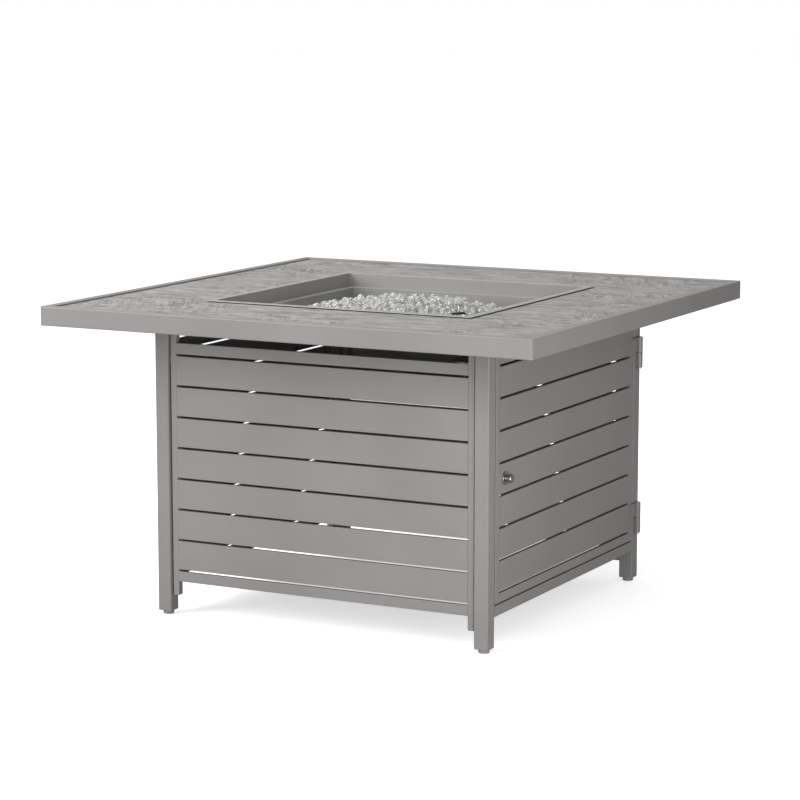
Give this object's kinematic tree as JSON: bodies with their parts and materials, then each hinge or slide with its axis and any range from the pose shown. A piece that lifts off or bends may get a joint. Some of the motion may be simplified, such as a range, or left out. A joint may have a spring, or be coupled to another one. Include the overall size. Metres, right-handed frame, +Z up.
{
  "type": "gas fire pit table",
  "caption": "Square gas fire pit table with a slatted open base, a hinged slatted door for the gas cylinder, and a recessed burner bowl heaped with glass beads.",
  "frame": {"origin": "on the floor under the centre of the table", "axes": "+Z up, -Y out of the plain front panel, +X out of the door side"},
  "size_m": [1.0668, 1.0668, 0.636],
  "materials": {
    "frame_paint": "fine textured powder coat, satin",
    "top_paint": "powder coat embossed with a grain",
    "bowl_paint": "powder coat, satin",
    "hinge_paint": "powder coat, satin",
    "stainless": "brushed",
    "brass": "machined",
    "nickel": "satin nickel",
    "zinc_steel": "zinc plated",
    "black_plastic": "matt",
    "grey_plastic": "matt",
    "dark_ceramic": "sooty ceramic",
    "red_silicone": "satin",
    "copper_lead": "drawn",
    "dark_seal": "matt woven heat seal",
    "clear_glass": "polished"
  },
  "bodies": {
    "table": {"air_mixer": "brass", "back_rails": "frame_paint", "back_slats": "frame_paint", "back_stiles": "frame_paint", "base_rails": "frame_paint", "bearers": "frame_paint", "bowl_carrier": "zinc_steel", "bracket_screws": "zinc_steel", "burner_bowl": "bowl_paint", "burner_hub": "stainless", "burner_ring": "stainless", "control_bracket": "zinc_steel", "door_sill": "frame_paint", "flame_sensor": "stainless", "flange_seal": "dark_seal", "foot_glides": "grey_plastic", "front_rails": "frame_paint", "front_slats": "frame_paint", "front_stiles": "frame_paint", "gas_inlet": "brass", "gas_valve": "brass", "glass_beads": "clear_glass", "hinge_lower_barrels": "hinge_paint", "hinge_pins": "zinc_steel", "igniter_body": "black_plastic", "jet_holder": "brass", "latch_keeper": "zinc_steel", "left_rails": "frame_paint", "left_slats": "frame_paint", "left_stiles": "frame_paint", "leg_back_left": "frame_paint", "leg_back_right": "frame_paint", "leg_front_left": "frame_paint", "leg_front_right": "frame_paint", "lock_nuts": "zinc_steel", "panel_spacers": "grey_plastic", "pilot_burner": "stainless", "pilot_tube": "stainless", "rim_back": "frame_paint", "rim_front": "frame_paint", "rim_left": "frame_paint", "rim_right": "frame_paint", "riser_elbow": "brass", "sensor_lead": "copper_lead", "spark_electrode": "dark_ceramic", "spark_lead": "red_silicone", "supply_pipe": "stainless", "top_sheet": "top_paint"},
    "door": {"door_slats": "frame_paint", "door_stiles": "frame_paint", "door_rails": "frame_paint", "hinge_upper_barrels": "hinge_paint", "latch_housing": "nickel"},
    "door_latch": {"latch_knob": "nickel", "latch_spindle": "zinc_steel", "latch_cam": "zinc_steel"},
    "valve_plunger": {"valve_collar": "zinc_steel"},
    "gas_control": {"gas_knob": "black_plastic", "valve_stem": "zinc_steel"},
    "igniter_push": {"igniter_button": "black_plastic"}
  },
  "joints": [
    {"name": "door_hinge", "type": "hinge", "parent": "table", "child": "door", "pos_m": [0.3766, 0.352, 0.3], "axis": [0, 0, 1], "range_deg": [0, 160]},
    {"name": "door_latch_turn", "type": "hinge", "parent": "door", "child": "door_latch", "pos_m": [0.37, -0.297, 0.3313], "axis": [-1, 0, 0], "range_deg": [0, 90]},
    {"name": "gas_knob_push", "type": "slide", "parent": "table", "child": "valve_plunger", "axis": [-1, 0, 0], "range_m": [0, 0.004], "stiffness_N_per_m": 800, "springref_m": -0.002},
    {"name": "gas_knob_turn", "type": "hinge", "parent": "valve_plunger", "child": "gas_control", "pos_m": [0.33, -0.19, 0.53], "axis": [1, 0, 0], "range_deg": [0, 180]},
    {"name": "igniter_button_push", "type": "slide", "parent": "table", "child": "igniter_push", "axis": [-1, 0, 0], "range_m": [0, 0.005], "stiffness_N_per_m": 600, "springref_m": -0.002}
  ]
}
